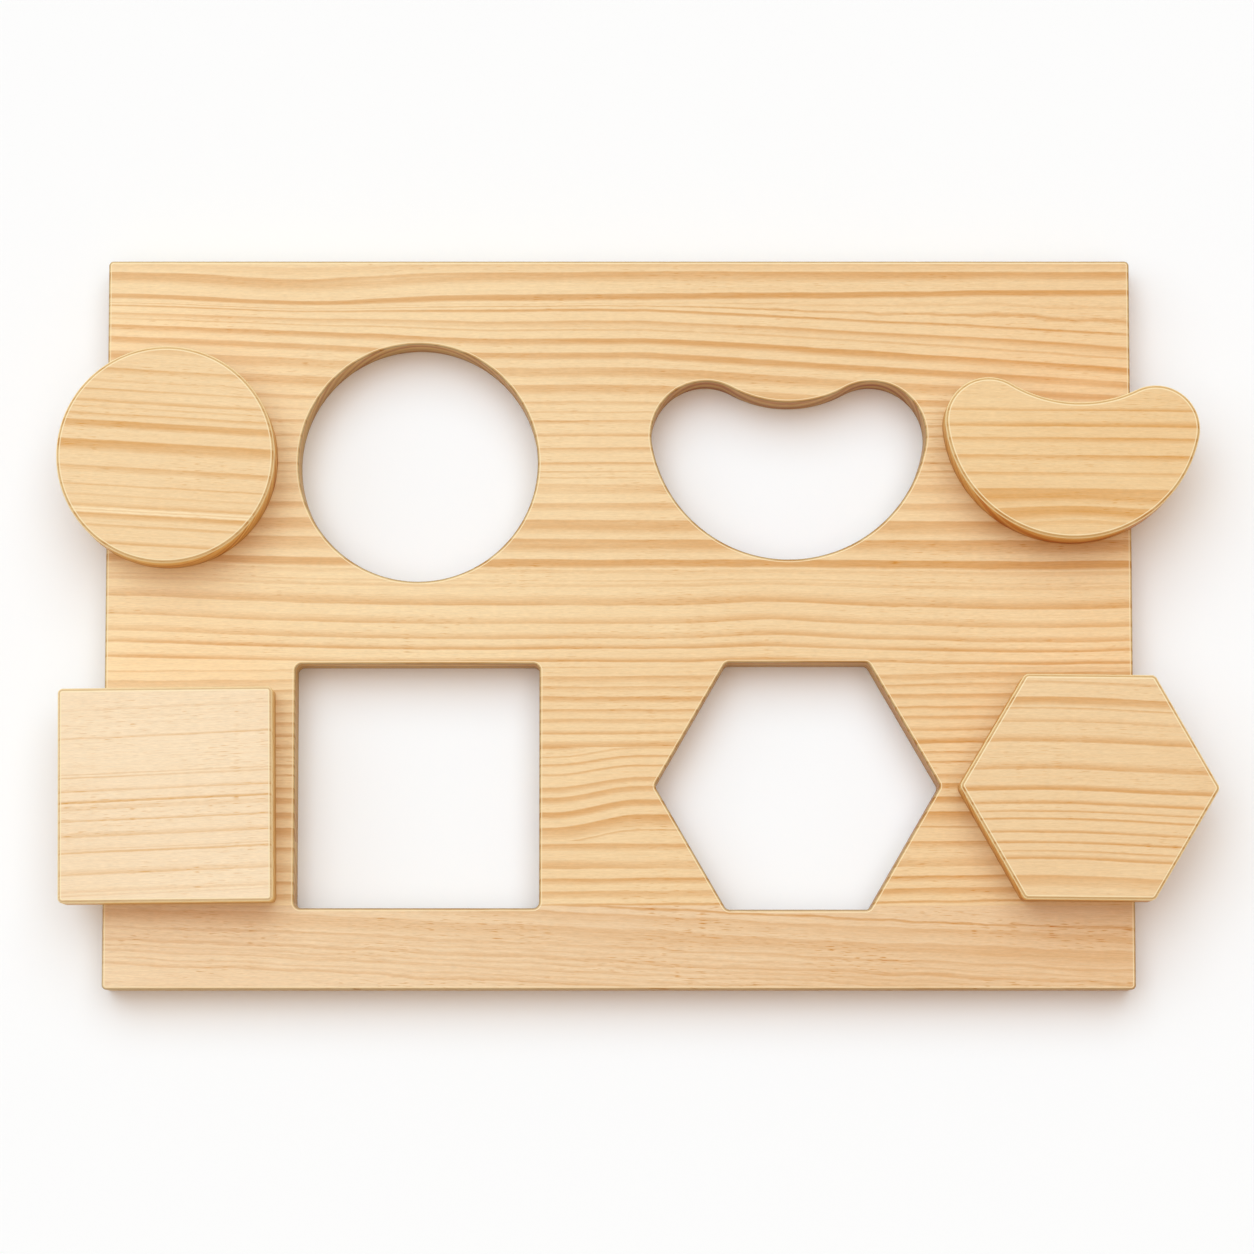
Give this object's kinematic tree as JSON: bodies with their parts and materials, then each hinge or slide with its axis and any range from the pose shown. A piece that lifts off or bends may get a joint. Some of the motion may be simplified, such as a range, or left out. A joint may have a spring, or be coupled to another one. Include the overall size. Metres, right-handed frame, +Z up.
{
  "type": "wooden shape board",
  "caption": "Glued pine panel with round, bean, square and hexagonal through openings, and the loose matching blocks lying on its ends, each free to lift off.",
  "frame": {"origin": "middle of the panel's underside", "axes": "+X along the grain to the right, +Y to the far long edge, +Z up out of the top face on which the blocks lie"},
  "size_m": [0.4483, 0.285, 0.0403],
  "materials": {
    "upper_stave_pine": "clear satin on knot-free pine with golden growth bands",
    "middle_stave_pine": "clear satin on pine with tight, even growth rings",
    "lower_stave_pine": "clear satin on rosy flat-sawn pine with faint streaks",
    "disc_pine": "clear satin on pine with broad golden bands",
    "square_pine": "clear satin on pale, fine-grained pine",
    "bean_pine": "clear satin on pine with a flame figure in its lower part",
    "hexagon_pine": "clear satin on golden pine with fine straight grain"
  },
  "bodies": {
    "panel": {"upper_stave": "upper_stave_pine", "second_stave_left": "middle_stave_pine", "second_stave_middle": "middle_stave_pine", "second_stave_right": "middle_stave_pine", "third_stave_left": "middle_stave_pine", "third_stave_middle": "middle_stave_pine", "third_stave_right": "middle_stave_pine", "fourth_stave_left": "middle_stave_pine", "fourth_stave_middle": "middle_stave_pine", "fourth_stave_right": "middle_stave_pine", "lower_stave": "lower_stave_pine"},
    "disc": {"disc_block": "disc_pine"},
    "square": {"square_block": "square_pine"},
    "bean": {"bean_block": "bean_pine"},
    "hexagon": {"hexagon_block": "hexagon_pine"}
  },
  "joints": [
    {"name": "disc_lift", "type": "slide", "parent": "panel", "child": "disc", "axis": [0, 0, 1], "range_m": [0, 0.08]},
    {"name": "square_lift", "type": "slide", "parent": "panel", "child": "square", "axis": [0, 0, 1], "range_m": [0, 0.08]},
    {"name": "bean_lift", "type": "slide", "parent": "panel", "child": "bean", "axis": [0, 0, 1], "range_m": [0, 0.08]},
    {"name": "hexagon_lift", "type": "slide", "parent": "panel", "child": "hexagon", "axis": [0, 0, 1], "range_m": [0, 0.08]}
  ]
}
